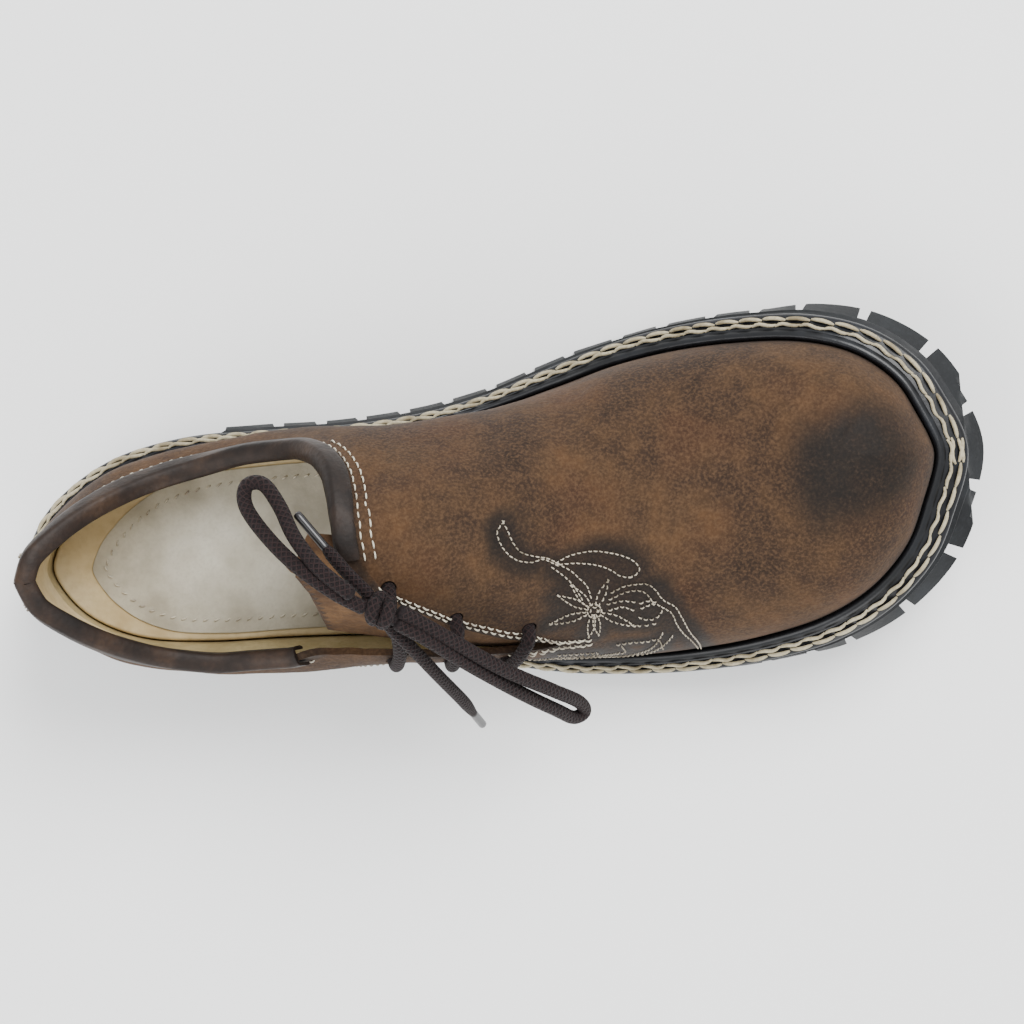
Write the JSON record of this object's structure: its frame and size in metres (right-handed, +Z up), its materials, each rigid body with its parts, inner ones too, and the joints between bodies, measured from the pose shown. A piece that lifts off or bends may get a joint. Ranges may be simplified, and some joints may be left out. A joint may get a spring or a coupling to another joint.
{
  "type": "traditional lace-up shoe",
  "caption": "Traditional side-laced shoe in waxed brown suede with embroidery, leather binding, a stitched welt and a lugged rubber sole; right shoe, laced and empty",
  "frame": {"origin": "middle of the shoe's length and width, on the floor it stands on", "axes": "+X from the heel to the toe, +Y to the inner side of the foot, +Z up"},
  "size_m": [0.3001, 0.1193, 0.1111],
  "materials": {
    "black_rubber": "matte, dusty moulded rubber",
    "dark_midsole": "matte dark layer",
    "welt_leather": "glossy blackened leather",
    "waxed_suede": "waxed brown suede",
    "dark_leather": "smooth dark brown leather",
    "tan_suede": "fuzzy tan suede",
    "sock_leather": "pale grey lining leather",
    "lace_cord": "round braided cord",
    "lace_tip": "shiny black sheath"
  },
  "bodies": {
    "root": {"outsole": "black_rubber", "midsole": "dark_midsole", "welt": "welt_leather", "insole": "sock_leather", "upper": "waxed_suede", "collar_binding": "dark_leather", "backstay": "dark_leather", "tongue": "tan_suede", "lace_bar_1": "lace_cord", "lace_bar_2": "lace_cord", "lace_bar_3": "lace_cord", "lace_knot": "lace_cord", "lace_loop_rear": "lace_cord", "lace_loop_side": "lace_cord", "lace_end_rear": "lace_cord", "lace_end_side": "lace_cord", "lace_tip_rear": "lace_tip", "lace_tip_side": "lace_tip"}
  },
  "joints": []
}
